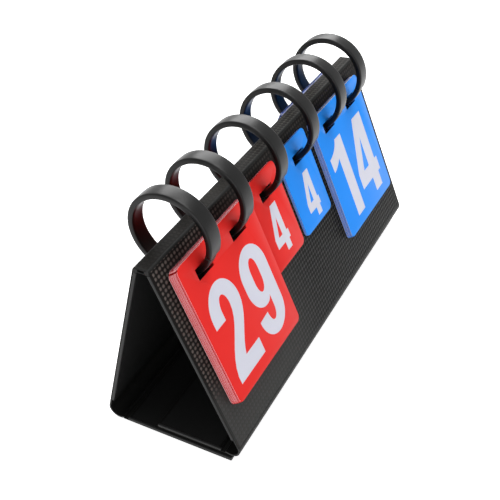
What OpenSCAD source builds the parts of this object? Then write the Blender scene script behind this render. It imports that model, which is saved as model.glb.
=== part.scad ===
// Tabletop flip scoreboard: a folding tent case, six binder rings and eight piles of number cards.
// The spine runs along X, the front faces -Y, and the origin lies under the middle of the base.

/* [Case] */
// Slope length of a leg, from the edge of the spine to the ground
leg_len = 106; // [100:0.5:115]
// Angle of each leg from upright
leg_angle = 19.1; // [17.5:0.1:21]
// Width of the spine across the top
spine_w = 7.2; // [6.8:0.1:9]
// Thickness of the outer vinyl
skin_t = 0.4; // [0.3:0.05:0.6]
// Thickness of the board inside a leg and the spine
board_t = 1.3; // [1:0.1:2]
// Thickness of the board inside a flap
flap_board_t = 0.9; // [0.7:0.1:1.2]
// Thickness of the lining
lining_t = 0.3; // [0.2:0.05:0.4]
// Width of the welded border where the vinyl wraps the board
weld_w = 1.2; // [0.8:0.1:2]
// Radius of the two folds beside the spine
top_fold_r = 1.2; // [1:0.1:1.4]
// Radius of the two folds at the feet
foot_fold_r = 5; // [4.4:0.1:5.4]
// Gap between a fold and the panels that it joins
fold_gap = 0.1; // [0.05:0.05:0.3]
// Thickness of the doubled vinyl in a foot fold
fold_t = 0.8; // [0.6:0.05:1.2]

/* [Base flaps] */
// Depth of the inner flap, from the front fold to its free edge
inner_flap_l = 33.5; // [30:0.5:34]
// Depth of the bottom flap, from the rear fold to its free edge
bottom_flap_l = 56; // [52:0.5:58]
// Thickness of the hook tape and of the loop tape
tape_t = 1.2; // [0.8:0.1:1.4]
// Length of a tape pad along the case
tape_l = 30; // [20:1:40]
// Depth of a tape pad
tape_w = 14; // [10:1:18]
// Inset of a tape pad from the end of the case and from the free edge of the inner flap
tape_inset = 3; // [2:0.5:6]

/* [Rings] */
// Outer radius of a ring
ring_r = 20; // [19:0.1:21]
// Thickness of a ring across its wall
ring_t = 3; // [2.6:0.1:3.2]
// Width of the upper half of a ring
ring_w = 8; // [7:0.1:8.4]
// Width of the lower half of a ring
ring_lower_w = 5.5; // [5:0.1:6]
// Height of the ring centre over the top of the spine
ring_rise = 1.6; // [1:0.1:2.4]
// Angle below level at which the halves meet at the front
ring_seam_angle = 20; // [15:1:26]
// Angle below level of the hinge between the halves at the rear
ring_hinge_angle = 49; // [45:1:50]
// Radius of the hinge pin between the halves
pin_r = 0.6; // [0.5:0.05:0.8]
// Clearance between the two halves, and round the pin
ring_fit = 0.08; // [0.05:0.01:0.1]
// Side of the square snap peg
peg_w = 1; // [0.8:0.1:1.2]

/* [Cards] */
// Width of a score card
score_w = 58.5; // [54:0.5:60]
// Height of a score card
score_h = 70; // [66:0.5:76]
// Margin between a score card and the end of the case
end_margin = 7.95; // [5:0.05:12]
// Distance between the two slots of a score card
slot_pitch = 28; // [24:0.5:32]
// Height of a slot in a score card
score_slot_h = 5.3; // [5:0.1:5.8]
// Border above the slots of a score card
score_margin = 6.7; // [6:0.1:7.4]
// Width of a set card
set_w = 29.5; // [27:0.5:30]
// Height of a set card
set_h = 46.7; // [44:0.5:52]
// Gap between the red score card and the red set card
red_gap = 2.1; // [1:0.1:8]
// Gap between the two set cards
middle_gap = 3.6; // [1:0.1:8]
// Gap between the blue set card and the blue score card
blue_gap = 5.4; // [1:0.1:8]
// Distance of the red set card's slot from its middle
red_set_slot_x = 1.2; // [0:0.1:2]
// Distance of the blue set card's slot from its middle
blue_set_slot_x = 2.6; // [0:0.1:3]
// Height of a slot in a set card
set_slot_h = 4.9; // [4.8:0.1:5.2]
// Border above the slot of a set card
set_margin = 8; // [7:0.1:8.2]
// Width of every slot
slot_w = 11.4; // [11.2:0.1:12.4]
// Radius of a card's corners
card_corner_r = 2.8; // [2:0.1:4]
// Thickness of a card
card_t = 0.15; // [0.1:0.01:0.16]
// Sideways play of a card in its pile
card_play = 0.2; // [0:0.05:0.25]

/* [Piles] */
// Red score cards at the front
red_score_front = 30; // [20:1:30]
// Red score cards at the rear
red_score_rear = 1; // [1:1:10]
// Thickness of the red score pile at the front
red_score_front_h = 5.5; // [5.2:0.1:5.8]
// Blue score cards at the front
blue_score_front = 15; // [8:1:18]
// Blue score cards at the rear
blue_score_rear = 16; // [8:1:18]
// Thickness of a blue score pile
blue_score_h = 3.4; // [3.1:0.1:3.6]
// Set cards at the front, on each side
set_front = 5; // [3:1:7]
// Set cards at the rear, on each side
set_rear = 3; // [2:1:5]
// Thickness of a set pile at the front
set_front_h = 1.5; // [1.3:0.1:1.8]
// Thickness of a set pile at the rear
set_rear_h = 0.9; // [0.8:0.1:1.2]
// Gap between the rings and the top of the slots in a front card
front_hang = 0.3; // [0.2:0.05:0.6]
// Gap between the rings and the top of the slots in a rear card
rear_hang = 1.3; // [1.2:0.05:1.5]
// Gap between the rings and the ends of the slots in a leg
leg_slot_gap = 0.8; // [0.7:0.05:1.2]

/* [Hidden] */
RING_NODES = [for (i = [1:6]) for (p = ["lower", "upper", "pin"]) str("ring_", i, "_", p)];
CARD_NODES = [for (k = ["red_score", "blue_score", "red_set", "blue_set"])
    for (p = ["front_card", "front_pile", "rear_pile"]) str(k, "_", p)];
$fn = 64;

vinyl = [0.13, 0.13, 0.13];
board_black = [0.1, 0.1, 0.1];
lining_black = [0.05, 0.05, 0.05];
ring_black = [0.2, 0.2, 0.2];
red = [0.91, 0.19, 0.17];
blue = [0.16, 0.55, 0.95];

// The case is as long as the row of cards on it, with a margin at each end
case_l = 2 * (end_margin + score_w + set_w) + red_gap + middle_gap + blue_gap;
score_x = case_l / 2 - end_margin - score_w / 2;
red_set_x = -score_x + (score_w + set_w) / 2 + red_gap;
blue_set_x = score_x - (score_w + set_w) / 2 - blue_gap;

leg_t = skin_t + board_t + lining_t;
flap_t = skin_t + flap_board_t + lining_t;
case_h = leg_len * cos(leg_angle);
// Tangent length of the top folds, their axes, and where the panels beside them start
top_tangent = top_fold_r * (1 - sin(leg_angle)) / cos(leg_angle);
top_axis_y = spine_w / 2 - top_tangent;
top_axis_z = case_h - top_fold_r;
leg_start = top_tangent + top_fold_r + fold_gap;
spine_half = top_axis_y - top_fold_r - fold_gap;
// Heights of the foot folds' axes: the front one rests on the bottom flap and the tapes
rear_foot_z = foot_fold_r;
front_foot_z = flap_t + 2 * tape_t + foot_fold_r;
function foot_u(z) = (case_h - foot_fold_r * sin(leg_angle) - z) / cos(leg_angle);
function foot_y(z) = spine_w / 2 + foot_u(z) * sin(leg_angle) - foot_fold_r * cos(leg_angle);
// The front foot stands a little further in than the rear one, so the whole is moved to its middle
mid_y = (foot_y(front_foot_z) - foot_y(rear_foot_z)) / 2;
// A flap's skin runs on past its panel, as near the fold's axis as it can lie and turn round it
lip_reach = sqrt(pow(foot_fold_r + fold_gap, 2) - pow(foot_fold_r - skin_t, 2));
lip_l = foot_fold_r + fold_gap - lip_reach;
inner_flap_tip = -foot_y(front_foot_z) + foot_fold_r + inner_flap_l;
bottom_flap_tip = foot_y(rear_foot_z) - foot_fold_r - bottom_flap_l;

ring_in = ring_r - ring_t;
ring_mid = ring_r - ring_t / 2;
ring_z = case_h + ring_rise;
// Where each ring lies, a little to one side of its slot
ring_side = [1.2, 1.2, 1, 0.7, 1.2, 0.3];
slot_x = [
    -score_x - slot_pitch / 2, -score_x + slot_pitch / 2, red_set_x + red_set_slot_x,
    blue_set_x + blue_set_slot_x, score_x - slot_pitch / 2, score_x + slot_pitch / 2];
pin_at = [ring_mid * cos(ring_hinge_angle), -ring_mid * sin(ring_hinge_angle)];
seam_at = [-ring_mid * cos(ring_seam_angle), -ring_mid * sin(ring_seam_angle)];

// Distance down a leg at which a circle of radius r round the ring centre meets the plane
// that lies off above the leg's face
function ring_cross(r, off) =
    let (y0 = spine_w / 2 + off * cos(leg_angle), z0 = ring_rise - off * sin(leg_angle))
    let (b = y0 * sin(leg_angle) + z0 * cos(leg_angle))
    -b + sqrt(b * b + r * r - y0 * y0 - z0 * z0);
leg_slot_top = ring_cross(ring_in, 0) - leg_slot_gap;
leg_slot_end = ring_cross(ring_r, -leg_t) + leg_slot_gap;

module on_front() {
    translate([0, mid_y - spine_w / 2, case_h]) rotate([90 - leg_angle, 0, 0]) children();
}

module on_rear() {
    translate([0, mid_y + spine_w / 2, case_h]) mirror([0, 1, 0]) rotate([90 - leg_angle, 0, 0]) children();
}

// A block on a leg: x0 to x1, u0 to u1 down the slope, w0 to w1 out from the outer face
module slab(x0, x1, u0, u1, w0, w1) {
    translate([x0, -u1, w0]) cube([x1 - x0, u1 - u0, w1 - w0]);
}

// The three layers of a panel that spans u0 to u1 and is t thick in all
module panel_skin(u0, u1, t) {
    difference() {
        slab(-case_l / 2, case_l / 2, u0, u1, -t, 0);
        slab(-case_l / 2 + weld_w, case_l / 2 - weld_w, u0 + weld_w, u1 - weld_w, -t - 1, -skin_t);
    }
}

module panel_board(u0, u1, t) {
    slab(-case_l / 2 + weld_w, case_l / 2 - weld_w, u0 + weld_w, u1 - weld_w, -t + lining_t, -skin_t);
}

module panel_lining(u0, u1, t) {
    slab(-case_l / 2 + weld_w, case_l / 2 - weld_w, u0 + weld_w, u1 - weld_w, -t, -t + lining_t);
}

module leg_slots() {
    for (x = slot_x)
        slab(x - slot_w / 2, x + slot_w / 2, leg_slot_top, leg_slot_end, -leg_t - 1, 1);
}

module leg_part(foot_z, layer) {
    u1 = foot_u(foot_z) - foot_fold_r - fold_gap;
    difference() {
        if (layer == "skin") panel_skin(leg_start, u1, leg_t);
        else if (layer == "board") panel_board(leg_start, u1, leg_t);
        else panel_lining(leg_start, u1, leg_t);
        leg_slots();
    }
}

module front_leg_skin() { color(vinyl) on_front() leg_part(front_foot_z, "skin"); }
module front_leg_board() { color(board_black) on_front() leg_part(front_foot_z, "board"); }
module front_leg_lining() { color(lining_black) on_front() leg_part(front_foot_z, "lining"); }
module rear_leg_skin() { color(vinyl) on_rear() leg_part(rear_foot_z, "skin"); }
module rear_leg_board() { color(board_black) on_rear() leg_part(rear_foot_z, "board"); }
module rear_leg_lining() { color(lining_black) on_rear() leg_part(rear_foot_z, "lining"); }

// The spine is a narrow flat strip between its two folds
module spine_layer(inset, z0, z1) {
    translate([-case_l / 2 + inset, mid_y - spine_half, case_h + z0])
        cube([case_l - 2 * inset, 2 * spine_half, z1 - z0]);
}

module spine_skin() { color(vinyl) spine_layer(0, -skin_t, 0); }
module spine_board() { color(board_black) spine_layer(weld_w, -skin_t - board_t, -skin_t); }
module spine_lining() { color(lining_black) spine_layer(0, -leg_t, -skin_t - board_t); }

// A flap lies with its vinyl side down, from y0 to y1, and its underside at z
module on_flap(y0, z) {
    translate([0, mid_y + y0, z]) mirror([0, 0, 1]) children();
}

module inner_flap_layer(layer) {
    y0 = -foot_y(front_foot_z) + foot_fold_r + fold_gap;
    on_flap(y0, front_foot_z - foot_fold_r) {
        l = inner_flap_tip - y0;
        if (layer == "skin") {
            panel_skin(-l, 0, flap_t);
            slab(-case_l / 2, case_l / 2, -1, lip_l, -skin_t, 0);
        }
        else if (layer == "board") panel_board(-l, 0, flap_t);
        else panel_lining(-l, 0, flap_t);
    }
}

module bottom_flap_layer(layer) {
    y1 = foot_y(rear_foot_z) - foot_fold_r - fold_gap;
    on_flap(bottom_flap_tip, 0) {
        l = y1 - bottom_flap_tip;
        if (layer == "skin") {
            panel_skin(-l, 0, flap_t);
            slab(-case_l / 2, case_l / 2, -l - lip_l, -l + 1, -skin_t, 0);
        }
        else if (layer == "board") panel_board(-l, 0, flap_t);
        else panel_lining(-l, 0, flap_t);
    }
}

module inner_flap_skin() { color(vinyl) inner_flap_layer("skin"); }
module inner_flap_board() { color(board_black) inner_flap_layer("board"); }
module inner_flap_lining() { color(lining_black) inner_flap_layer("lining"); }
module bottom_flap_skin() { color(vinyl) bottom_flap_layer("skin"); }
module bottom_flap_board() { color(board_black) bottom_flap_layer("board"); }
module bottom_flap_lining() { color(lining_black) bottom_flap_layer("lining"); }

// A rounded vinyl fold beside the spine, on the axis at y
module top_fold(y) {
    translate([-case_l / 2, mid_y + y, top_axis_z]) rotate([0, 90, 0])
        cylinder(h = case_l, r = top_fold_r);
}

// A foot fold runs from the leg's panel down the outer face, and bends under to the flap's lip
module foot_fold(foot_z) {
    r = foot_fold_r;
    end = 182 + leg_angle + atan(lip_reach / (r - skin_t));
    translate([-case_l / 2, -foot_u(foot_z), -r]) rotate([90, 0, 90]) linear_extrude(case_l) {
        difference() {
            intersection() {
                circle(r = r);
                polygon([[0, 0], [0, 2 * r], [-2 * r, 2 * r], [-2 * r, 0], 3 * r * [cos(end), sin(end)]]);
            }
            circle(r = r - fold_t);
        }
        translate([0, r - fold_t]) square([r, fold_t]);
    }
}

module front_top_fold() { color(vinyl) top_fold(-top_axis_y); }
module rear_top_fold() { color(vinyl) top_fold(top_axis_y); }
module front_foot_fold() { color(vinyl) on_front() foot_fold(front_foot_z); }
module rear_foot_fold() { color(vinyl) on_rear() foot_fold(rear_foot_z); }

// Two pads of tape near the ends of the case, between the flaps
module tape_pads(z) {
    for (side = [-1, 1])
        translate([side * (case_l / 2 - tape_inset - tape_l / 2) - tape_l / 2,
            mid_y + inner_flap_tip - tape_inset - tape_w, z])
            cube([tape_l, tape_w, tape_t]);
}

module loop_tape() { color(lining_black) tape_pads(flap_t); }
module hook_tape() { color(lining_black) tape_pads(flap_t + tape_t); }

// Ring shapes are drawn flat, with Y of the case to the right and up as up
module on_ring(i) {
    translate([slot_x[i] + ring_side[i], mid_y, ring_z]) rotate([90, 0, 90]) children();
}

module arc_2d(a0, a1) {
    steps = 12;
    reach = ring_r * 1.2;
    intersection() {
        difference() {
            circle(r = ring_r, $fn = 96);
            circle(r = ring_in, $fn = 96);
        }
        polygon(concat([[0, 0]],
            [for (k = [0:steps]) let (a = a0 + (a1 - a0) * k / steps) reach * [cos(a), sin(a)]]));
    }
}

// The lower half is narrow, with a round knuckle at the rear hinge and a peg at the front snap
module ring_lower(i) {
    color(ring_black) on_ring(i) difference() {
        union() {
            translate([0, 0, -ring_w / 2]) linear_extrude(ring_lower_w) {
                arc_2d(180 + ring_seam_angle, 360 - ring_hinge_angle);
                translate(pin_at) circle(r = ring_t / 2);
            }
            translate([seam_at[0], seam_at[1] + peg_w / 2, (ring_lower_w - ring_w) / 2])
                cube([peg_w, 2 * peg_w, 2 * peg_w], center = true);
        }
        translate([pin_at[0], pin_at[1], -ring_w]) cylinder(h = 2 * ring_w, r = pin_r);
    }
}

// The upper half is wide, with a lug beside the lower half's knuckle
module ring_upper(i) {
    lug_x = ring_lower_w - ring_w / 2 + ring_fit;
    end_gap = ring_fit / ring_mid * 180 / PI;
    knuckle_angle = (ring_t / 2 + 2 * ring_fit) / ring_mid * 180 / PI;
    color(ring_black) on_ring(i) difference() {
        union() {
            translate([0, 0, -ring_w / 2]) linear_extrude(ring_w)
                arc_2d(-ring_hinge_angle + knuckle_angle / 2, 180 + ring_seam_angle - end_gap);
            translate([0, 0, lug_x]) linear_extrude(ring_w / 2 - lug_x) {
                arc_2d(-ring_hinge_angle, -ring_hinge_angle + knuckle_angle);
                translate(pin_at) circle(r = ring_t / 2);
            }
        }
        translate([pin_at[0], pin_at[1], -ring_w / 2 - 1])
            cylinder(h = lug_x + ring_w / 2 + 1, r = ring_t / 2 + 2 * ring_fit);
        translate([pin_at[0], pin_at[1], -ring_w]) cylinder(h = 2 * ring_w, r = pin_r + ring_fit);
        translate([seam_at[0], seam_at[1] + peg_w / 2, (ring_lower_w - ring_w) / 2])
            cube([peg_w + 4 * ring_fit, 2 * peg_w + 4 * ring_fit, 2 * peg_w + 4 * ring_fit], center = true);
    }
}

module ring_pin(i) {
    color("silver") on_ring(i) translate([pin_at[0], pin_at[1], -ring_w / 2])
        cylinder(h = ring_w, r = pin_r);
}

// A card hangs from its middle top, with slots at the given distances from its middle
module card_2d(w, h, slots, slot_h, margin) {
    r = card_corner_r;
    difference() {
        union() {
            translate([-w / 2 + r, -h]) square([w - 2 * r, h]);
            translate([-w / 2, -h + r]) square([w, h - 2 * r]);
            for (x = [-1, 1], y = [-r, -h + r])
                translate([x * (w / 2 - r), y]) circle(r = r, $fn = 48);
        }
        for (x = slots)
            translate([x - slot_w / 2, -margin - slot_h]) square([slot_w, slot_h]);
    }
}

// Card number i of a pile of n that is pile_h thick. It hangs where the rings hold its slot.
module card(slots, x, i, n, pile_h, hang, play) {
    pitch = pile_h / n;
    off = pitch * (i + 1) - card_t;
    score = len(slots) == 2;
    margin = score ? score_margin : set_margin;
    translate([x + play * sin(i * 137), margin + hang - ring_cross(ring_in, off), off])
        linear_extrude(card_t)
            card_2d(score ? score_w : set_w, score ? score_h : set_h, slots,
                score ? score_slot_h : set_slot_h, margin);
}

module front_card(slots, x, n, pile_h) {
    on_front() card(slots, x, n - 1, n, pile_h, front_hang, 0);
}

module front_pile(slots, x, n, pile_h) {
    on_front() for (i = [0:n - 2]) card(slots, x, i, n, pile_h, front_hang, card_play);
}

module rear_pile(slots, x, n, pile_h) {
    on_rear() for (i = [0:n - 1]) card(slots, x, i, n, pile_h, rear_hang, card_play);
}

module cards(name) {
    score_slots = [-slot_pitch / 2, slot_pitch / 2];
    red_slots = [red_set_slot_x];
    blue_slots = [blue_set_slot_x];
    red_rear_h = red_score_rear * blue_score_h / blue_score_rear;
    if (name == "red_score_front_card")
        color(red) front_card(score_slots, -score_x, red_score_front, red_score_front_h);
    if (name == "red_score_front_pile")
        color(red) front_pile(score_slots, -score_x, red_score_front, red_score_front_h);
    if (name == "red_score_rear_pile")
        color(red) rear_pile(score_slots, -score_x, red_score_rear, red_rear_h);
    if (name == "blue_score_front_card")
        color(blue) front_card(score_slots, score_x, blue_score_front, blue_score_h);
    if (name == "blue_score_front_pile")
        color(blue) front_pile(score_slots, score_x, blue_score_front, blue_score_h);
    if (name == "blue_score_rear_pile")
        color(blue) rear_pile(score_slots, score_x, blue_score_rear, blue_score_h);
    if (name == "red_set_front_card")
        color(red) front_card(red_slots, red_set_x, set_front, set_front_h);
    if (name == "red_set_front_pile")
        color(red) front_pile(red_slots, red_set_x, set_front, set_front_h);
    if (name == "red_set_rear_pile")
        color(red) rear_pile(red_slots, red_set_x, set_rear, set_rear_h);
    if (name == "blue_set_front_card")
        color(blue) front_card(blue_slots, blue_set_x, set_front, set_front_h);
    if (name == "blue_set_front_pile")
        color(blue) front_pile(blue_slots, blue_set_x, set_front, set_front_h);
    if (name == "blue_set_rear_pile")
        color(blue) rear_pile(blue_slots, blue_set_x, set_rear, set_rear_h);
}

front_leg_skin();
front_leg_board();
front_leg_lining();
rear_leg_skin();
rear_leg_board();
rear_leg_lining();
spine_skin();
spine_board();
spine_lining();
inner_flap_skin();
inner_flap_board();
inner_flap_lining();
bottom_flap_skin();
bottom_flap_board();
bottom_flap_lining();
front_top_fold();
rear_top_fold();
front_foot_fold();
rear_foot_fold();
hook_tape();
loop_tape();
for (i = [1:6]) ring_lower(i - 1);
for (i = [1:6]) ring_upper(i - 1);
for (i = [1:6]) ring_pin(i - 1);
for (name = CARD_NODES) cards(name);
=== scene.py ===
import bpy
import bmesh
import math
import numpy as np
from mathutils import Matrix, Vector


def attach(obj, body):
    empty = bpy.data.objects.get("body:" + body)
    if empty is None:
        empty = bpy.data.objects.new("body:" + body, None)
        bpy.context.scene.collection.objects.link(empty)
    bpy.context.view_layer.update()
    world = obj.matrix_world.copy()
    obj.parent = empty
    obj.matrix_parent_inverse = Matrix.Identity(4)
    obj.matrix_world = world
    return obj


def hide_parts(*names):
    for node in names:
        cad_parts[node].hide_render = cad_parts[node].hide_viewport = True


# Tabletop flip scoreboard: finishes, covers, rings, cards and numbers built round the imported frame.
# Sizes are in millimetres until a mesh is made, and angles are in degrees.

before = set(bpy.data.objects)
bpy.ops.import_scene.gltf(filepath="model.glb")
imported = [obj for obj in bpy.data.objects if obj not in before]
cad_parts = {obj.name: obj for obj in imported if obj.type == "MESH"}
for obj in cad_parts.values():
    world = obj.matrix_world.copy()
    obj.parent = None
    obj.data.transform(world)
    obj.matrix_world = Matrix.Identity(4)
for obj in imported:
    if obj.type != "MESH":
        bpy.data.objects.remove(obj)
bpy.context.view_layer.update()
mm = 0.001

case = {
    "length": 203.0,
    "legLength": 106.0,
    "legAngle": 19.1,
    "spineWidth": 7.2,
    "skin": 0.4,
    "legThick": 2.0,
    "flapThick": 1.6,
    "topFold": 1.2,
    "footFold": 5.0,
    "foldThick": 0.8,
    "foldGap": 0.1,
    "tape": 1.2,
    "weld": 1.2,
    "innerFlap": 33.5,
    "bottomFlap": 56.0,
    "inset": 0.02,  # between a sheet and the bars behind it
    "cutRound": 0.12,
    "sheetCorner": 0.05,
    "flapCorner": 0.15,
    "barStart": 1.4,  # from a panel's top edge to its bars
    "topSeam": 1.0,
    "endRound": 0.35, "seamRound": 0.2, "flapRound": 0.3,
    "foldOverrun": 9.0,  # degrees that a foot fold runs past the flap's lip
}
sinLeg = math.sin(math.radians(case["legAngle"]))
cosLeg = math.cos(math.radians(case["legAngle"]))
caseHeight = case["legLength"] * cosLeg
halfSpine = case["spineWidth"] / 2


def footDistance(z):  # how far down the slope the foot fold's axis lies, for its height z
    return (caseHeight - case["footFold"] * sinLeg - z) / cosLeg


def footY(z):
    return halfSpine + footDistance(z) * sinLeg - case["footFold"] * cosLeg


frontFootZ = case["flapThick"] + 2 * case["tape"] + case["footFold"]
rearFootZ = case["footFold"]
midY = (footY(frontFootZ) - footY(rearFootZ)) / 2
topTangent = case["topFold"] * (1 - sinLeg) / cosLeg
lipReach = math.sqrt((case["footFold"] + case["foldGap"]) ** 2
                     - (case["footFold"] - case["skin"]) ** 2)

ring = {
    "radius": 20.0, "wall": 3.0, "width": 8.0, "lowerWidth": 5.5, "rise": 1.6, "fit": 0.08,
    "seam": 20.0,  # below level, at the front
    "hinge": 49.0,  # below level, at the rear
}
ringInner = ring["radius"] - ring["wall"]
ringMid = ring["radius"] - ring["wall"] / 2
ringZ = caseHeight + ring["rise"]

slots = {"width": 11.4, "corner": 0.5, "legGap": 0.8}
ringSide = [1.2, 1.2, 1.0, 0.7, 1.2, 0.3]

piles = {
    "red_score": {"x": -64.3, "front": 30, "rear": 1, "frontHeight": 5.5, "rearHeight": 3.4 / 16,
                  "colour": "red", "size": "score", "slots": [-14.0, 14.0],
                  "shown": "29", "next": "28"},
    "red_set": {"x": -18.2, "front": 5, "rear": 3, "frontHeight": 1.5, "rearHeight": 0.9,
                "colour": "red", "size": "set", "slots": [1.2], "shown": "4", "next": "3"},
    "blue_set": {"x": 14.9, "front": 5, "rear": 3, "frontHeight": 1.5, "rearHeight": 0.9,
                 "colour": "blue", "size": "set", "slots": [2.6], "shown": "4", "next": "3"},
    "blue_score": {"x": 64.3, "front": 15, "rear": 16, "frontHeight": 3.4, "rearHeight": 3.4,
                   "colour": "blue", "size": "score", "slots": [-14.0, 14.0],
                   "shown": "14", "next": "13"},
}
cards = {
    "score": {"width": 58.5, "height": 70.0, "slotHeight": 5.3, "margin": 6.7},
    "set": {"width": 29.5, "height": 46.7, "slotHeight": 4.9, "margin": 8.0},
    "thick": 0.15,
    "corner": 2.8,
    "frontHang": 0.3,
    "rearHang": 1.3,
    "play": 0.2, "spread": 137,  # sideways play, and the angle between one card and the next in it
    "cutRound": 0.03,
    "slotCorner": 0.25,
    "rim": 0.5, "topRim": 0.3,  # how near to its edges a card's cut faces lie
}
slotX = [piles[name]["x"] + dx for name in piles for dx in piles[name]["slots"]]
ringX = [x + side for x, side in zip(slotX, ringSide)]


def ringCross(r, off):
    # How far down a leg a ring circle of radius r meets the plane that lies off above the leg's face
    y0 = halfSpine + off * cosLeg
    z0 = ring["rise"] - off * sinLeg
    b = y0 * sinLeg + z0 * cosLeg
    return -b + math.sqrt(b * b + r * r - y0 * y0 - z0 * z0)


# Materials

def colour(hexValue):  # sRGB hex to linear
    parts = [int(hexValue[i:i + 2], 16) / 255 for i in (0, 2, 4)]
    return [c / 12.92 if c <= 0.04045 else ((c + 0.055) / 1.055) ** 2.4 for c in parts] + [1.0]


def addNode(tree, kind, settings=None, inputs=None):
    node = tree.nodes.new(kind)
    for key, value in (settings or {}).items():
        setattr(node, key, value)
    for key, value in (inputs or {}).items():
        if isinstance(value, bpy.types.NodeSocket):
            tree.links.new(value, node.inputs[key])
        else:
            node.inputs[key].default_value = value
    return node


def maths(tree, operation, *values):
    node = addNode(tree, "ShaderNodeMath", {"operation": operation}, dict(enumerate(values)))
    return node.outputs[0]


def startMaterial(name, finish):
    material = bpy.data.materials.new(name)
    material.use_nodes = True
    tree = material.node_tree
    shader = tree.nodes["Principled BSDF"]
    shader.inputs["Base Color"].default_value = colour(finish["base"])
    shader.inputs["Roughness"].default_value = finish["rough"]
    shader.inputs["Specular IOR Level"].default_value = finish.get("specular", 0.5)
    shader.inputs["Metallic"].default_value = finish.get("metallic", 0.0)
    place = addNode(tree, "ShaderNodeTexCoord").outputs["Object"]
    material.diffuse_color = colour(finish["base"])
    return material, tree, shader, place


def mixColour(tree, factor, first, second):
    mix = addNode(tree, "ShaderNodeMix", {"data_type": "RGBA"})
    for socket, value in ((mix.inputs[0], factor), (mix.inputs[6], first), (mix.inputs[7], second)):
        if isinstance(value, bpy.types.NodeSocket):
            tree.links.new(value, socket)
        else:
            socket.default_value = value
    return mix.outputs[2]


vinyl = {
    "base": "161514", "dotHighlight": "5b5450",  # painted highlights on the raised dots, where no painted sheen lies
    "sheenTone": "434342", "pitShade": "020202",  # elsewhere painted sheen on the high parts, and painted shade in the pits
    "spine": "222120", "spineSheenFar": "3e3c38",  # painted sheen on the spine's high parts, at its near end and far end
    # the smooth weld border, lighter where the painted sheen lies on it
    "border": "292928",
    "rough": 0.5, "dotRough": 0.42, "specular": 0.03,
    "acrossPitch": 2.17,
    "downPitch": 2.26,
    "stray": 0.1,
    "dotEdge": (0.48, 0.16), "pitEdge": (0.62, 0.3),  # from rim to full tone, in pitches
    "dotHeight": 0.1, "relief": 0.4,
    "weldWidth": 1.2,  # smooth border that the welding bar leaves
    # Millimetres from the middle of the length, or down the slope, between which the painted sheen sets
    # in
    "wornAcross": (-94.5, -86.0), "sheenDown": (4.0, 16.0), "sheenFoot": (56.0, 74.0),
    # How far along the length the dots' painted highlights fade, and to what least share
    "dotsFade": (-85.0, -30.0), "dotsLeast": 0.25,
    # How far along the length the painted shade in the pits deepens, and its least share
    "pitsGrow": (-50.0, 0.0), "pitsLeast": 0.35,
    # along which the spine's painted sheen turns from its near tone to its lighter far tone
    "spineSheenAcross": (-95.0, 30.0),
    "cloud": 60.0, "cloudLeast": 0.85,  # patches to the metre
    "grain": 2500.0, "grainHeight": 0.1,
}


def ramp(tree, value, limits, unit=1.0):  # smooth from 0 at the first limit to 1 at the second
    return addNode(tree, "ShaderNodeMapRange", {"interpolation_type": "SMOOTHSTEP"},
                   {0: value, 1: limits[0] * unit, 2: limits[1] * unit}).outputs[0]


def remap(tree, value, low, high):  # straight from low at 0 to high at 1
    return addNode(tree, "ShaderNodeMapRange", None, {0: value, 3: low, 4: high}).outputs[0]


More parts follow.
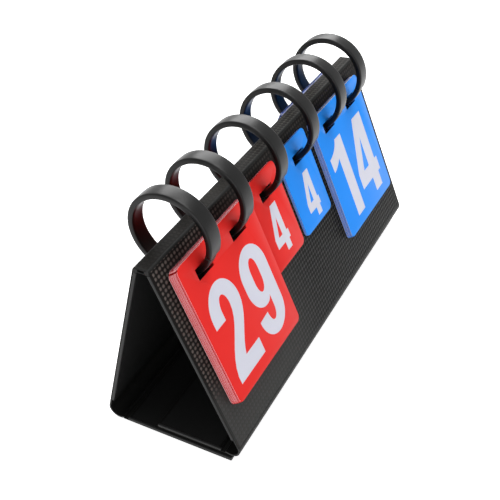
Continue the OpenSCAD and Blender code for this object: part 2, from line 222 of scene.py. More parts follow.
def embossedVinyl(name, tilt, sloped):
    # Black PVC sheet from an embossing roller, in rows and columns of dots. tilt turns the face's
    # own down direction to Z. The dots' tops carry painted highlights and the pits painted shade;
    # a sloped face has no painted sheen near its top and its near end and full painted sheen at its
    # foot, and a flat face has painted sheen all over.
    material, tree, shader, place = startMaterial(name, vinyl)
    turned = addNode(tree, "ShaderNodeMapping", None,
                     {"Vector": place, "Rotation": (math.radians(tilt), 0, 0)}).outputs[0]
    axes = addNode(tree, "ShaderNodeSeparateXYZ", None, {0: turned})
    x, z = axes.outputs["X"], axes.outputs["Z"]
    squeezed = maths(tree, "MULTIPLY", z, vinyl["acrossPitch"] / vinyl["downPitch"])
    flat = addNode(tree, "ShaderNodeCombineXYZ", None, {0: x, 1: squeezed}).outputs[0]
    away = addNode(tree, "ShaderNodeTexVoronoi", {"voronoi_dimensions": "2D"},
                   {"Vector": flat, "Scale": 1 / (vinyl["acrossPitch"] * mm),
                    "Randomness": vinyl["stray"]}).outputs["Distance"]
    fromEnd = maths(tree, "SUBTRACT", case["length"] / 2 * mm, maths(tree, "ABSOLUTE", x))
    inside = maths(tree, "GREATER_THAN", fromEnd, vinyl["weldWidth"] * mm)
    dots = maths(tree, "MULTIPLY", ramp(tree, away, vinyl["dotEdge"]), inside)
    # Painted shade in the pits, darker along the length away from the near end
    depth = maths(tree, "MULTIPLY_ADD", ramp(tree, x, vinyl["pitsGrow"], mm),
                  1 - vinyl["pitsLeast"], vinyl["pitsLeast"])
    pits = maths(tree, "MULTIPLY", ramp(tree, away, vinyl["pitEdge"]), inside)
    pits = maths(tree, "MULTIPLY", pits, depth)
    # Painted sheen: none near the top and the near end of a sloped face, full at its foot; all over a
    # flat face
    if sloped:
        down = maths(tree, "SUBTRACT", caseHeight * cosLeg * mm, z)
        worn = maths(tree, "MULTIPLY", ramp(tree, x, vinyl["wornAcross"], mm),
                     ramp(tree, down, vinyl["sheenDown"], mm))
        worn = maths(tree, "MAXIMUM", worn, ramp(tree, down, vinyl["sheenFoot"], mm))
        # The dots' painted highlights fade along the length, away from the near end
        fade = maths(tree, "MULTIPLY_ADD", ramp(tree, x, vinyl["dotsFade"], mm),
                     vinyl["dotsLeast"] - 1, 1.0)
        dots = maths(tree, "MULTIPLY", dots, fade)
        high = colour(vinyl["sheenTone"])
    else:
        worn = 1.0
        # The spine's painted sheen, lighter towards its far end
        high = mixColour(tree, ramp(tree, x, vinyl["spineSheenAcross"], mm),
                         colour(vinyl["spine"]), colour(vinyl["spineSheenFar"]))
    cloud = addNode(tree, "ShaderNodeTexNoise", None,
                    {"Vector": place, "Scale": vinyl["cloud"], "Detail": 3.0}).outputs[0]
    worn = maths(tree, "MULTIPLY", worn, remap(tree, cloud, vinyl["cloudLeast"], 1.0))
    # Painted highlights on the dots' tops
    highlightedDots = mixColour(tree, dots, colour(vinyl["base"]), colour(vinyl["dotHighlight"]))
    # Painted sheen on the high parts, with painted shade in the pits
    sheenTone = mixColour(tree, pits, high, colour(vinyl["pitShade"]))
    # The weld border, lighter under the painted sheen
    border = mixColour(tree, worn, colour(vinyl["base"]), colour(vinyl["border"]))
    tone = mixColour(tree, inside, border, mixColour(tree, worn, highlightedDots, sheenTone))
    tree.links.new(tone, shader.inputs["Base Color"])
    tree.links.new(remap(tree, dots, vinyl["rough"], vinyl["dotRough"]), shader.inputs["Roughness"])
    fine = addNode(tree, "ShaderNodeTexNoise", None,
                   {"Vector": place, "Scale": vinyl["grain"]}).outputs[0]
    relief = maths(tree, "ADD", dots, maths(tree, "MULTIPLY", fine, vinyl["grainHeight"]))
    bump = addNode(tree, "ShaderNodeBump", None,
                   {"Strength": vinyl["relief"], "Distance": vinyl["dotHeight"] * mm,
                    "Height": relief}).outputs[0]
    tree.links.new(bump, shader.inputs["Normal"])
    return material


grainDepth = 0.1


def grained(name, finish):
    # A plain finish with a cloudy tone and a fine grain, as rolled film, board or pressed felt has.
    material, tree, shader, place = startMaterial(name, finish)
    cloud = addNode(tree, "ShaderNodeTexNoise", None,
                    {"Vector": place, "Scale": 1 / (finish["cloudSize"] * mm),
                     "Detail": 4.0}).outputs[0]
    tree.links.new(mixColour(tree, cloud, colour(finish["base"]), colour(finish["tone"])),
                   shader.inputs["Base Color"])
    grain = addNode(tree, "ShaderNodeTexNoise", None,
                    {"Vector": place, "Scale": 1 / (finish["grainSize"] * mm),
                     "Detail": 3.0}).outputs[0]
    bump = addNode(tree, "ShaderNodeBump", None,
                   {"Strength": finish["grain"], "Distance": grainDepth * mm,
                    "Height": grain}).outputs[0]
    tree.links.new(bump, shader.inputs["Normal"])
    tree.links.new(remap(tree, grain, finish["rough"] - 0.06, finish["rough"] + 0.06),
                   shader.inputs["Roughness"])
    return material


finishes = {
    # Calendered film, almost no gloss
    "liningFilm": {"base": "0a0a0a", "tone": "101010", "rough": 0.62, "specular": 0.25,
                   "cloudSize": 12, "grainSize": 0.5, "grain": 0.25},
    # Pressed board, fibrous where it is cut
    "blackBoard": {"base": "191817", "tone": "242220", "rough": 0.85, "specular": 0.3,
                   "cloudSize": 3, "grainSize": 0.2, "grain": 0.5},
    "flapEdge": {"base": "303030", "tone": "363636", "rough": 0.45, "specular": 0.15,
                 "cloudSize": 6, "grainSize": 0.3, "grain": 0.2},
    # Vinyl stretched smooth round a fold
    "foldVinyl": {"base": "111110", "tone": "171716", "rough": 0.5, "specular": 0.12,
                  "cloudSize": 8, "grainSize": 0.4, "grain": 0.3},
    # Vinyl pressed smooth by the welding bar
    "weldedEdge": {"base": "242424", "tone": "2c2c2c", "rough": 0.45, "specular": 0.15,
                   "cloudSize": 6, "grainSize": 0.3, "grain": 0.2},
    # Nylon hooks, woolly at a distance
    "hookTape": {"base": "070707", "tone": "161616", "rough": 0.95, "specular": 0.1,
                 "cloudSize": 0.6, "grainSize": 0.25, "grain": 1.0},
    # Satin black ABS from a polished mould
    "mouldedAbs": {"base": "050505", "tone": "080808", "rough": 0.33, "specular": 0.22,
                   "cloudSize": 9, "grainSize": 0.35, "grain": 0.05},
    # Drawn steel wire
    "steelWire": {"base": "b8b8bb", "tone": "9a9a9e", "rough": 0.28, "metallic": 1.0,
                  "cloudSize": 0.5, "grainSize": 0.1, "grain": 0.2},
    # Printed PVC card with a satin seal
    "redPrint": {"base": "e9302b", "tone": "e42c29", "rough": 0.34, "specular": 0.06,
                 "cloudSize": 20, "grainSize": 0.6, "grain": 0.04},
    "bluePrint": {"base": "2992fa", "tone": "258df5", "rough": 0.34, "specular": 0.06,
                  "cloudSize": 20, "grainSize": 0.6, "grain": 0.04},
    # Cut edge, where the white core shows
    "redCut": {"base": "ffd6da", "tone": "fac6cc", "rough": 0.6, "specular": 0.3,
               "cloudSize": 6, "grainSize": 0.2, "grain": 0.2},
    # Where ink has bled over it
    "redCutRose": {"base": "f0a0a8", "tone": "ea929c", "rough": 0.6, "specular": 0.3,
                   "cloudSize": 6, "grainSize": 0.2, "grain": 0.2},
    # Painted shade in the gaps between groups of cards
    "redCutShaded": {"base": "8c1420", "tone": "9a1a26", "rough": 0.6, "specular": 0.3,
                   "cloudSize": 6, "grainSize": 0.2, "grain": 0.2},
    # Walls of the slots, near black: painted shade inside the slots
    "redSlotShade": {"base": "140405", "tone": "1c0607", "rough": 0.8, "specular": 0.1,
                   "cloudSize": 2, "grainSize": 0.2, "grain": 0.2},
    "blueCut": {"base": "dcdde8", "tone": "d0d2e0", "rough": 0.6, "specular": 0.3,
                "cloudSize": 6, "grainSize": 0.2, "grain": 0.2},
    "blueCutRose": {"base": "9c9eb2", "tone": "9092a8", "rough": 0.6, "specular": 0.3,
                    "cloudSize": 6, "grainSize": 0.2, "grain": 0.2},
    # Painted shade in the gaps between groups of cards
    "blueCutShaded": {"base": "30364c", "tone": "3a415a", "rough": 0.6, "specular": 0.3,
                    "cloudSize": 6, "grainSize": 0.2, "grain": 0.2},
    # Blue slot walls, near black: painted shade inside the slots
    "blueSlotShade": {"base": "050710", "tone": "080b18", "rough": 0.8, "specular": 0.1,
                    "cloudSize": 2, "grainSize": 0.2, "grain": 0.2},
    "paleInk": {"base": "d6d7e3", "tone": "d1d2df", "rough": 0.4, "specular": 0.1,
                "cloudSize": 15, "grainSize": 0.6, "grain": 0.04},
}
look = {name: grained(name, finish) for name, finish in finishes.items()}
look["vinylFront"] = embossedVinyl("embossedVinylFront", case["legAngle"], True)
look["vinylRear"] = embossedVinyl("embossedVinylRear", -case["legAngle"], True)
look["vinylFlat"] = embossedVinyl("embossedVinylFlat", 90, False)
print("materials ready")


# Mesh helpers

def onLeg(points, side):
    # (x, down the slope, out of the face) to the case's axes; side is -1 for the front leg
    x, u, w = points.T
    y = midY + side * (halfSpine + u * sinLeg + w * cosLeg)
    z = caseHeight - u * cosLeg + w * sinLeg
    return np.stack([x, y, z], 1)


def makePiece(name, parts, body, replaced=(), smooth=30):
    # parts is a list of (points in millimetres, faces, material); each becomes a closed shell
    mesh = bpy.data.meshes.new(name)
    points = np.concatenate([np.asarray(p, float) for p, _, _ in parts])
    faces, slotsOf, start = [], [], 0
    used = []
    for p, f, material in parts:
        if material not in used:
            used.append(material)
        faces += [[i + start for i in face] for face in f]
        slotsOf += [used.index(material)] * len(f)
        start += len(p)
    mesh.from_pydata((points * mm).tolist(), [], faces)
    for material in used:
        mesh.materials.append(look[material])
    mesh.polygons.foreach_set("material_index", np.array(slotsOf, np.int32))
    work = bmesh.new()
    work.from_mesh(mesh)
    bmesh.ops.remove_doubles(work, verts=work.verts, dist=0.0004 * mm)
    bmesh.ops.recalc_face_normals(work, faces=work.faces)
    work.to_mesh(mesh)
    work.free()
    piece = bpy.data.objects.new(name, mesh)
    bpy.context.scene.collection.objects.link(piece)
    mesh.polygons.foreach_set("use_smooth", np.ones(len(mesh.polygons), bool))
    mesh.set_sharp_from_angle(angle=math.radians(smooth))
    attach(piece, body)
    if replaced:
        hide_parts(*replaced)
    return piece


def cutSheet(loops, thick, edge):
    # A flat sheet with the given closed loops, outer ones and holes, and a rounded cut edge.
    # It lies from 0 to thick.
    curve = bpy.data.curves.new("cutSheet", "CURVE")
    curve.dimensions = "2D"
    curve.fill_mode = "BOTH"
    curve.extrude = thick / 2 - edge
    curve.bevel_depth = edge
    curve.bevel_resolution = 1
    curve.offset = -edge
    for loop in loops:
        spline = curve.splines.new("POLY")
        spline.points.add(len(loop) - 1)
        flat = np.zeros((len(loop), 4))
        flat[:, :2] = loop
        flat[:, 3] = 1
        spline.points.foreach_set("co", flat.ravel())
        spline.use_cyclic_u = True
    holder = bpy.data.objects.new("cutSheet", curve)
    mesh = bpy.data.meshes.new_from_object(holder)
    points = np.zeros(len(mesh.vertices) * 3)
    mesh.vertices.foreach_get("co", points)
    points = points.reshape(-1, 3) + [0, 0, thick / 2]
    faces = [list(p.vertices) for p in mesh.polygons]
    bpy.data.objects.remove(holder)
    bpy.data.meshes.remove(mesh)
    bpy.data.curves.remove(curve)
    return points, faces


def arc(cx, cy, rx, ry, a0, a1, steps=14):
    a = np.radians(np.linspace(a0, a1, steps))
    return np.stack([cx + rx * np.cos(a), cy + ry * np.sin(a)], 1)


def bend(p0, p1, p2, p3, steps=10):  # cubic curve from p0 to p3, drawn towards p1 and p2
    t = np.linspace(0, 1, steps)[:, None]
    p0, p1, p2, p3 = (np.array(p, float) for p in (p0, p1, p2, p3))
    return (1 - t) ** 3 * p0 + 3 * (1 - t) ** 2 * t * p1 + 3 * (1 - t) * t ** 2 * p2 + t ** 3 * p3


def roundedBox(x0, x1, y0, y1, r):
    left, right, low, high = x0 + r, x1 - r, y0 + r, y1 - r
    return np.concatenate([arc(right, high, r, r, 0, 90, 6), arc(left, high, r, r, 90, 180, 6),
                           arc(left, low, r, r, 180, 270, 6), arc(right, low, r, r, 270, 360, 6)])


def skinOver(rows):
    # Closes a grid of points (rows, round, 3) to a solid, round each row and over both ends
    m, n = rows.shape[:2]
    i, j = np.meshgrid(np.arange(m - 1), np.arange(n), indexing="ij")
    first = (i * n + j).ravel()
    second = (i * n + (j + 1) % n).ravel()
    faces = np.stack([first, second, second + n, first + n], 1).tolist()
    faces += [list(range(n))[::-1], list(range((m - 1) * n, m * n))]
    return rows.reshape(-1, 3), faces


def sweep(section, path, sideways, outward):
    # Carries a closed section (n, 2) along a straight path; its columns run sideways and outward
    across = section[None, :, :1] * np.array(sideways, float)
    up = section[None, :, 1:] * np.array(outward, float)
    return skinOver(np.array(path, float)[:, None, :] + across + up)


# Case covers

def bar(x0, x1, u0, u1, w0, w1, r, side):
    # A straight welded bar with rounded long edges, laid down the slope of a leg
    points, faces = sweep(roundedBox(x0, x1, w0, w1, r), [(0, u0, 0), (0, u1, 0)], (1, 0, 0), (0, 0, 1))
    return onLeg(points, side), faces


def legCover(name, side, footZ, tone):
    half, weld = case["length"] / 2, case["weld"]
    top, foot = topTangent, footDistance(footZ)
    slotTop = ringCross(ringInner, 0) - slots["legGap"]
    slotEnd = ringCross(ring["radius"], -case["legThick"]) + slots["legGap"]
    loops = [roundedBox(-half, half, top, foot, case["sheetCorner"])]
    loops += [roundedBox(x - slots["width"] / 2, x + slots["width"] / 2, slotTop, slotEnd,
                         slots["corner"]) for x in slotX]
    points, faces = cutSheet(loops, case["skin"], case["cutRound"])
    points[:, 2] -= case["skin"]
    parts = [(onLeg(points, side), faces, tone)]
    start, stop = top + case["barStart"], foot - case["footFold"] - case["foldGap"]
    low, high = -case["legThick"], -case["skin"] - case["inset"]
    for end in (-1, 1):
        x0, x1 = sorted((end * half, end * (half - weld)))
        parts.append(bar(x0, x1, start, stop, low, high, case["endRound"], side) + ("weldedEdge",))
    for u0, u1 in ((start, start + case["topSeam"]), (stop - weld, stop)):
        parts.append(bar(-half + weld, half - weld, u0, u1, low, high, case["seamRound"], side)
                     + ("foldVinyl",))
    makePiece(name + "_cover", parts, name, [name + "_skin"])


def footFold(name, side, footZ):
    # Doubled vinyl: it starts under the leg's skin, bends round the foot, and ends over the flap's lip
    r, thick = case["footFold"], case["foldThick"]
    foot = footDistance(footZ)
    under = case["skin"] + case["inset"]
    overLip = math.degrees(math.atan2(lipReach, r - case["skin"]))
    last = -case["legAngle"] - overLip - case["foldOverrun"]
    out = np.radians(np.linspace(90, last, 40))
    back = out[::-1]
    outer = np.stack([foot + r * np.cos(out), -r + r * np.sin(out)], 1)
    inner = np.stack([foot + (r - thick) * np.cos(back), (r - thick) * np.sin(back) - r], 1)
    lip = [(foot - r, -thick), (foot - r, -under), (foot, -under)]
    section = np.concatenate([outer, inner, lip])
    half = case["length"] / 2
    points, faces = sweep(section, [(-half, 0, 0), (half, 0, 0)], (0, 1, 0), (0, 0, 1))
    laid = onLeg(points, side)
    makePiece(name + "_sheet", [(laid, faces[:-2], "foldVinyl"), (laid, faces[-2:], "weldedEdge")],
              name.replace("_foot_fold", "_leg"), [name])


def flapCover(y0, y1, skin0, skin1, z):
    # A flap's vinyl is underneath, from skin0 to skin1; the bars round its board go from y0 to y1
    half, weld = case["length"] / 2, case["weld"]
    place = [0, midY, z]
    low, high = case["skin"] + case["inset"], case["flapThick"]
    points, faces = cutSheet([roundedBox(-half, half, skin0, skin1, case["flapCorner"])],
                             case["skin"], case["cutRound"])
    parts = [(points + place, faces, "foldVinyl")]
    for end in (-1, 1):
        x0, x1 = sorted((end * half, end * (half - weld)))
        points, faces = sweep(roundedBox(x0, x1, low, high, case["flapRound"]),
                              [(0, y0, 0), (0, y1, 0)], (1, 0, 0), (0, 0, 1))
        parts.append((points + place, faces, "flapEdge"))
    for a, b in ((y0, y0 + weld), (y1 - weld, y1)):
        points, faces = sweep(roundedBox(a, b, low, high, case["seamRound"]),
                              [(-half + weld, 0, 0), (half - weld, 0, 0)], (0, 1, 0), (0, 0, 1))
        parts.append((points + place, faces, "foldVinyl"))
    return parts


legCover("front_leg", -1, frontFootZ, "vinylFront")
legCover("rear_leg", 1, rearFootZ, "vinylRear")
footFold("front_foot_fold", -1, frontFootZ)
footFold("rear_foot_fold", 1, rearFootZ)
panelOff = case["footFold"] + case["foldGap"]
innerAxis, bottomAxis = -footY(frontFootZ), footY(rearFootZ)
innerTip = innerAxis + case["footFold"] + case["innerFlap"]
bottomTip = bottomAxis - case["footFold"] - case["bottomFlap"]
makePiece("inner_flap_cover",
          flapCover(innerAxis + panelOff, innerTip, innerAxis + lipReach, innerTip,
                    frontFootZ - case["footFold"]),
          "inner_flap", ["inner_flap_skin"])
makePiece("bottom_flap_cover",
          flapCover(bottomTip, bottomAxis - panelOff, bottomTip, bottomAxis - lipReach, 0.0),
          "bottom_flap", ["bottom_flap_skin"])
half, spineEdge = case["length"] / 2, halfSpine - topTangent
points, faces = cutSheet([roundedBox(-half, half, -spineEdge, spineEdge, case["sheetCorner"])],
                         case["skin"], case["cutRound"])
makePiece("spine_cover", [(points + [0, midY, caseHeight - case["skin"]], faces, "vinylFlat")],
          "spine", ["spine_skin"])

plainNodes = {
    "liningFilm": [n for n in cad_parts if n.endswith("_lining")],
    "blackBoard": [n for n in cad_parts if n.endswith("_board")],
    "foldVinyl": [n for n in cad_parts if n.endswith("_top_fold")],
    "hookTape": ["hook_tape", "loop_tape"],
    "steelWire": [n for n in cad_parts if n.endswith("_pin")],
}
for material, names in plainNodes.items():
    for name in names:
        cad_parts[name].data.materials.clear()
        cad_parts[name].data.materials.append(look[material])
print("case covers ready")


# Rings

ringForm = {
    "outerRound": 0.7, "innerChamfer": 0.8, "crown": 0.12,
    "steps": 72,
    "endRound": 0.35, "upperEase": 0.12, "lowerEase": 0.06,  # length and depth of the ends' rounding
    "cupRows": 8,  # rows over which the hollow round the knuckle fades
    "knuckleRound": 0.25, "knuckleSteps": 32,
    "inset": 0.02,
    "smooth": 38,
}


def ringSection(width):
    # Flat band with a faint crown outside, rounded outer edges and wide soft chamfers inside.
    # Column 0 is across the band, column 1 is the radius.
    w, r, c = width / 2, ringForm["outerRound"], ringForm["innerChamfer"]
    outer, inner = ring["radius"], ringInner
    lift = ringForm["crown"]
    top = np.linspace(w - r, -w + r, 9)
    crown = np.stack([top, outer - lift * (top / w) ** 2], 1)
    edge = crown[0, 1]
    right = arc(w - r, edge - r, r, r, 0, 90, 6)[:-1]
    left = arc(-w + r, edge - r, r, r, 90, 180, 6)[1:]
    half = [(w - 2 * c, inner), (w - c, inner + 0.05), (w - 0.2 * c, inner + 0.45 * c), (w, inner + c)]
    low = [(-x, r) for x, r in half[::-1]] + half
    return np.concatenate([right, crown, left, np.array(low)])


def ringBand(width, shift, a0, a1, ease, cup):
    # The section carried round from a0 to a1, drawn in a little at both ends so that they are rounded.
    # With cup, the a0 end is hollowed to lie round the knuckle at the hinge.
    section = ringSection(width)
    middle = np.array([0, ringMid])
    a = np.radians(np.linspace(a0, a1, ringForm["steps"]))
    end = ringForm["endRound"] / ringMid
    a = np.concatenate([[a[0], a[0] + end * 0.3, a[0] + end], a[1:-1],
                        [a[-1] - end, a[-1] - end * 0.3, a[-1]]])
    shrink = np.ones(len(a))
    shrink[[0, 1, -2, -1]] = [1 - ease, 1 - ease * 0.35, 1 - ease * 0.35, 1 - ease]
    s = middle + (section[None] - middle) * shrink[:, None, None]
    across, radius = s[..., 0] + shift, s[..., 1]
    a = np.repeat(a[:, None], s.shape[1], 1)
    if cup:
        hollow = np.sqrt(np.maximum(cup ** 2 - (radius - ringMid) ** 2, 0)) / radius
        a = a + hollow * np.clip(1 - np.arange(len(a)) / ringForm["cupRows"], 0, 1)[:, None]
    return skinOver(np.stack([across, radius * np.cos(a), radius * np.sin(a)], 2))


def knuckle(x0, x1, r):
    # A short round boss with eased rims, lying across the ring at the hinge pin
    ease = ringForm["knuckleRound"]
    profile = np.array([[x0, 0.001], [x0, r - ease], [x0 + ease * 0.3, r - ease * 0.3], [x0 + ease, r],
                        [x1 - ease, r], [x1 - ease * 0.3, r - ease * 0.3], [x1, r - ease], [x1, 0.001]])
    a = np.radians(np.linspace(0, 360, ringForm["knuckleSteps"] + 1)[:-1])
    along, out = profile[:, :1], profile[:, 1:]
    rows = np.stack([np.repeat(along, len(a), 1), out * np.cos(a), out * np.sin(a)], 2)
    points, faces = skinOver(rows)
    hinge = math.radians(ring["hinge"])
    return points + [0, ringMid * math.cos(hinge), -ringMid * math.sin(hinge)], faces


fitAngle = math.degrees(ring["fit"] / ringMid)
split = ring["lowerWidth"] - ring["width"] / 2  # where the wide knuckle ends and the narrow one begins
knuckleEnd = ring["width"] / 2 - ringForm["inset"]
seamAngle = 180 + ring["seam"]
ringShells = {
    "upper": [ringBand(ring["width"], 0, -ring["hinge"], seamAngle - fitAngle, ringForm["upperEase"],
                       ring["wall"] / 2 + 2 * ring["fit"]),
              knuckle(split + ring["fit"], knuckleEnd, ring["wall"] / 2)],
    "lower": [ringBand(ring["lowerWidth"], (ring["lowerWidth"] - ring["width"]) / 2, seamAngle,
                       360 - ring["hinge"], ringForm["lowerEase"], 0),
              knuckle(-knuckleEnd, split, ring["wall"] / 2)],
}
for number, x in enumerate(ringX, 1):
    for half, body in (("upper", f"ring_{number}_top"), ("lower", f"ring_{number}")):
        parts = [(p + [x, midY, ringZ], f, "mouldedAbs") for p, f in ringShells[half]]
        makePiece(f"ring_{number}_{half}_moulding", parts, body,
                  [f"ring_{number}_{half}"], smooth=ringForm["smooth"])
print("rings ready")


# Numbers: bold condensed figures, 46 high, drawn from arcs and a few bends

figureHeight = 46.0
figures = {
    "1": (17.4, [np.concatenate([[(17.4, 0), (17.4, 46), (10.4, 46)],
                                 bend((10.4, 46), (9.0, 42.2), (4.5, 39.8), (0, 39.2)),
                                 [(0.3, 31.6)],
                                 bend((0.3, 31.6), (3.5, 32.2), (6.6, 33.6), (8.8, 35.8)),
                                 [(8.8, 0)]])]),
    "2": (21.5, [np.concatenate([[(0, 28.8)], arc(10.75, 32.5, 10.75, 13.5, 180, 0, 26),
                                 bend((21.5, 32.5), (21.5, 22.5), (12.5, 17.0), (10.0, 8.2)),
                                 [(21.5, 8.2), (21.5, 0), (0, 0), (0, 4.0)],
                                 bend((0, 4.0), (1.8, 16.5), (14.0, 22.0), (14.0, 33.0)),
                                 arc(10.75, 33.0, 3.25, 6.4, 0, 180, 14), [(7.5, 28.8)]])]),
    "3": (21.0, [np.concatenate([[(0.5, 33.0)], arc(10.3, 34.2, 9.8, 11.8, 180, -40, 26),
                                 [(16.2, 24.6)],
                                 arc(10.5, 12.9, 10.5, 12.9, 52, -180, 28), [(0, 14.2), (7.4, 14.2)],
                                 arc(10.5, 13.0, 3.1, 6.2, 180, 360, 14),
                                 arc(9.4, 15.0, 4.2, 5.2, 0, 90, 8),
                                 [(8.0, 20.2), (8.0, 27.0)], arc(9.4, 31.4, 3.9, 4.4, -90, 0, 8),
                                 arc(10.3, 34.6, 3.0, 5.3, 0, 180, 14), [(7.3, 33.0)]])]),
    "4": (24.4, [np.array([(13.4, 0), (21.6, 0), (21.6, 8.4), (24.4, 8.4), (24.4, 16.4),
                           (21.6, 16.4), (21.6, 46), (11.2, 46), (0, 17.6), (0, 8.4),
                           (13.4, 8.4)], float),
                 np.array([(13.4, 16.4), (6.9, 16.4), (13.4, 34.0)], float)]),
    "8": (21.0, [np.concatenate([arc(10.5, 34.6, 9.7, 11.4, -52, 232, 32), [(2.6, 24.4)],
                                 arc(10.5, 12.8, 10.5, 12.8, 128, 412, 34), [(18.4, 24.4)]]),
                 arc(10.5, 34.4, 2.9, 5.4, 360, 15, 20), arc(10.5, 13.2, 3.1, 6.7, 360, 15, 22)]),
    "9": (21.0, [np.concatenate([[(0.2, 11.8)], arc(10.6, 12.2, 10.4, 12.2, 180, 360, 26),
                                 arc(10.5, 33.0, 10.5, 13.0, 0, 180, 28),
                                 arc(9.4, 28.2, 9.4, 12.6, 180, 275, 12),
                                 bend((10.6, 15.7), (12.2, 16.0), (13.2, 17.0), (13.6, 18.4)),
                                 [(13.6, 12.6)], arc(10.6, 12.6, 3.0, 5.9, 0, -180, 14),
                                 [(7.6, 12.9)]]),
                 np.concatenate([arc(10.5, 33.6, 3.0, 6.2, 0, 180, 14),
                                 arc(10.5, 28.4, 3.0, 6.2, 180, 360, 14)])]),
}
printing = {"red_score": {"height": 46.0, "gap": 4.5, "top": 17.8, "stretch": 1.0, "shift": 0.0},
            "red_set": {"height": 25.2, "gap": 3.0, "top": 16.6, "stretch": 0.93, "shift": -0.3},
            "blue_set": {"height": 25.0, "gap": 3.0, "top": 18.6, "stretch": 0.9, "shift": 0.8},
            "blue_score": {"height": 46.0, "gap": 5.0, "top": 18.25, "stretch": 1.0, "shift": -0.85},
            "ink": 0.03}


def numberLoops(text, name):
    # The figures side by side, middled on the card; u runs down the card from its top edge
    p = printing[name]
    scale = p["height"] / figureHeight
    wide = scale * p["stretch"]
    total = sum(figures[c][0] * wide for c in text) + p["gap"] * (len(text) - 1)
    x = p["shift"] - total / 2
    loops = []
    for c in text:
        width, outlines = figures[c]
        loops += [np.stack([x + loop[:, 0] * wide, p["top"] + p["height"] - loop[:, 1] * scale], 1)
                  for loop in outlines]
        x += width * wide + p["gap"]
    return loops


# Cards

def cardLoops(pile):
    c, reach = cards[pile["size"]], slots["width"] / 2
    outer = roundedBox(-c["width"] / 2, c["width"] / 2, 0, c["height"], cards["corner"])
    top, end = c["margin"], c["margin"] + c["slotHeight"]
    return [outer] + [roundedBox(x - reach, x + reach, top, end, cards["slotCorner"])
                      for x in pile["slots"]]


def cardSheet(pile):
    # One card in four lots of faces: printed, the cut edge round it, its slots' walls, its top edge.
    # The lots are told apart by how square a face lies to the sheet, and by how far in it lies.
    size = cards[pile["size"]]
    points, faces = cutSheet(cardLoops(pile), cards["thick"], cards["cutRound"])
    lots = ([], [], [], [])
    for face in faces:
        c = points[face[:3]]
        across = np.cross(c[1] - c[0], c[2] - c[0])
        x, u = points[face].mean(0)[:2]
        rim = cards["rim"]
        inside = abs(x) < size["width"] / 2 - rim and rim < u < size["height"] - rim
        printed = abs(across[2]) > 0.9 * np.linalg.norm(across)
        lots[0 if printed else 2 if inside else 3 if u < cards["topRim"] else 1].append(face)
    return points, lots


def cardPlace(name, i, count, height, hang, play):
    # Where card i of a pile lies: its middle, its top edge down the slope, and its height off the leg
    pile = piles[name]
    off = height / count * (i + 1) - cards["thick"]
    top = ringCross(ringInner, off) - hang - cards[pile["size"]]["margin"]
    return np.array([pile["x"] + play * math.sin(math.radians(i * cards["spread"])), top, off])


def ink(name, text, place, side, outward):
    # The printed number, a hair proud of the card; outward is 1 on the face away from the leg
    points, faces = cutSheet(numberLoops(text, name), printing["ink"], 0.0)
    points = points - [0, 0, printing["ink"] / 2]
    if side * outward == 1:
        points[:, 0] *= -1
    points[:, 2] += cards["thick"] if outward == 1 else 0
    return onLeg(points + place, side), faces, "paleInk"


# Which tone each card's cut edge takes, in the order of a pile: Rose where ink lies over it, and Dark
# or Shaded for painted shade in the gaps between groups of cards
edgeShades = ["", "Rose", "", "", "Shaded", "", "Rose", "", "", "", "Rose", "Shaded", "", "Rose", ""]
# On the top edges the dark band is painted shade in the gap between the rear and front groups of cards
topShades = ["Rose"] + ["Shaded"] * 5 + [""] + ["Shaded"] * 4 + ["Rose", "Shaded", "", ""]


def stack(name, which, number, places, side, body, inks):
    # number is the place in the pile of the first card here
    pile = piles[name]
    points, (flat, edges, walls, tops) = cardSheet(pile)
    parts = []
    for i, place in enumerate(places):
        laid = onLeg(points + place, side)
        edge = pile["colour"] + "Cut" + edgeShades[(i + number) % len(edgeShades)]
        top = pile["colour"] + "Cut" + topShades[(i + number) % len(topShades)]
        parts += [(laid, flat, pile["colour"] + "Print"), (laid, edges, edge),
                  (laid, walls, pile["colour"] + "SlotShade"), (laid, tops, top)]
    parts += inks
    makePiece(f"{name}_{which}_printed", parts, body, [f"{name}_{which}"])


for name, pile in piles.items():
    n, h = pile["front"], pile["frontHeight"]
    frontPlaces = [cardPlace(name, i, n, h, cards["frontHang"], cards["play"]) for i in range(n - 1)]
    topPlace = cardPlace(name, n - 1, n, h, cards["frontHang"], 0)
    stack(name, "front_pile", 0, frontPlaces, -1, "front_leg",
          [ink(name, pile["next"], frontPlaces[-1], -1, 1)])
    stack(name, "front_card", n - 1, [topPlace], -1, name + "_card",
          [ink(name, pile["shown"], topPlace, -1, 1), ink(name, pile["next"], topPlace, -1, -1)])
    m, h = pile["rear"], pile["rearHeight"]
    rearPlaces = [cardPlace(name, i, m, h, cards["rearHang"], cards["play"]) for i in range(m)]
    stack(name, "rear_pile", 3, rearPlaces, 1, "rear_leg",
          [ink(name, pile["shown"], rearPlaces[-1], 1, 1)])
print("cards ready")


# Floor, light and camera

studio = {
    "floor": "f2f2f2", "floorSize": 6.0, "floorDrop": 0.0005, "floorGlow": 0.8,
    "diffuse": 0.36,
    "lamps": {  # place, aim, size in metres, and power in watts
        "overheadSoftbox": ((0.2, -0.15, 0.75), (0, 0, 0.08), (0.5, 0.35), 3.3),
        "backSoftbox": ((0.75, 0.4, 0.7), (0, 0, 0.1), (0.6, 0.6), 7.0),
        "sideSoftbox": ((-0.85, -0.2, 0.25), (0, 0, 0.05), (0.6, 0.5), 2.6),
        "frontSoftbox": ((0.1, -0.9, 0.5), (0, 0, 0.05), (0.7, 0.6), 1.0),
    },
}


def seenDirectly(tree):  # 1 for rays that see the pale ground, 0 for those that light the part
    ray = addNode(tree, "ShaderNodeLightPath").outputs
    mirrored = maths(tree, "MAXIMUM", ray["Is Glossy Ray"], ray["Is Transmission Ray"])
    return maths(tree, "MAXIMUM", ray["Is Camera Ray"], mirrored)


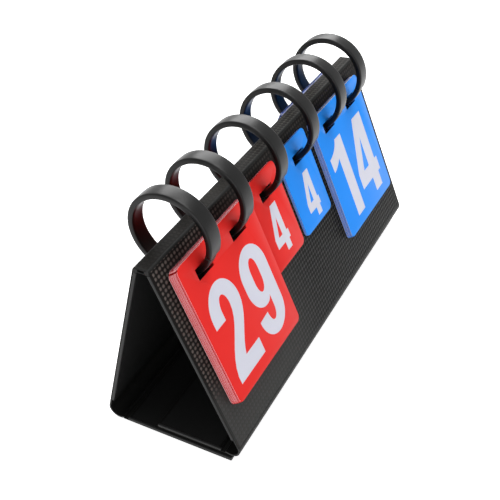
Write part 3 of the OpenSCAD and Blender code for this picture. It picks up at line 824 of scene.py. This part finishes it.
floorMesh = bpy.data.meshes.new("floor")
reach = studio["floorSize"] / 2
floorMesh.from_pydata([(-reach, -reach, 0), (reach, -reach, 0), (reach, reach, 0), (-reach, reach, 0)],
                      [], [(0, 1, 2, 3)])
floor = bpy.data.objects.new("floor", floorMesh)
bpy.context.scene.collection.objects.link(floor)
floor.location.z = -studio["floorDrop"]
floorMaterial, floorTree, floorShader, place = startMaterial("paleFloor", {"base": studio["floor"],
                                                                           "rough": 0.9})
seen = seenDirectly(floorTree)
floorShader.inputs["Emission Color"].default_value = (1, 1, 1, 1)
floorTree.links.new(maths(floorTree, "MULTIPLY", seen, studio["floorGlow"]),
                    floorShader.inputs["Emission Strength"])
floorMesh.materials.append(floorMaterial)

world = bpy.data.worlds.new("studio")
bpy.context.scene.world = world
world.use_nodes = True
tree = world.node_tree
background = tree.nodes["Background"]
background.inputs["Color"].default_value = (1, 1, 1, 1)
tree.links.new(remap(tree, seenDirectly(tree), studio["diffuse"], 1.0), background.inputs["Strength"])


def softbox(name, place, aim, size, power):
    light = bpy.data.lights.new(name, "AREA")
    light.shape = "RECTANGLE"
    light.size, light.size_y = size
    light.energy = power
    lamp = bpy.data.objects.new(name, light)
    lamp.location = place
    lamp.rotation_euler = (Vector(aim) - Vector(place)).to_track_quat("-Z", "Y").to_euler()
    bpy.context.scene.collection.objects.link(lamp)


for name, settings in studio["lamps"].items():
    softbox(name, *settings)

shot = {"place": (-0.28201, -0.16132, 0.28641), "aim": (0.01006, 0.01766, 0.02442), "roll": -5.559,
        "lens": 56.83, "sensor": 36, "near": 0.01}
cameraData = bpy.data.cameras.new("photoCamera")
cameraData.sensor_width = shot["sensor"]
cameraData.lens = shot["lens"]
cameraData.clip_start = shot["near"]
camera = bpy.data.objects.new("photoCamera", cameraData)
bpy.context.scene.collection.objects.link(camera)
facing = (Vector(shot["aim"]) - Vector(shot["place"])).to_track_quat("-Z", "Y").to_matrix().to_4x4()
roll = Matrix.Rotation(math.radians(shot["roll"]), 4, "Z")
camera.matrix_world = Matrix.Translation(shot["place"]) @ facing @ roll
bpy.context.scene.camera = camera
bpy.context.scene.view_settings.view_transform = "Standard"
print("studio ready")
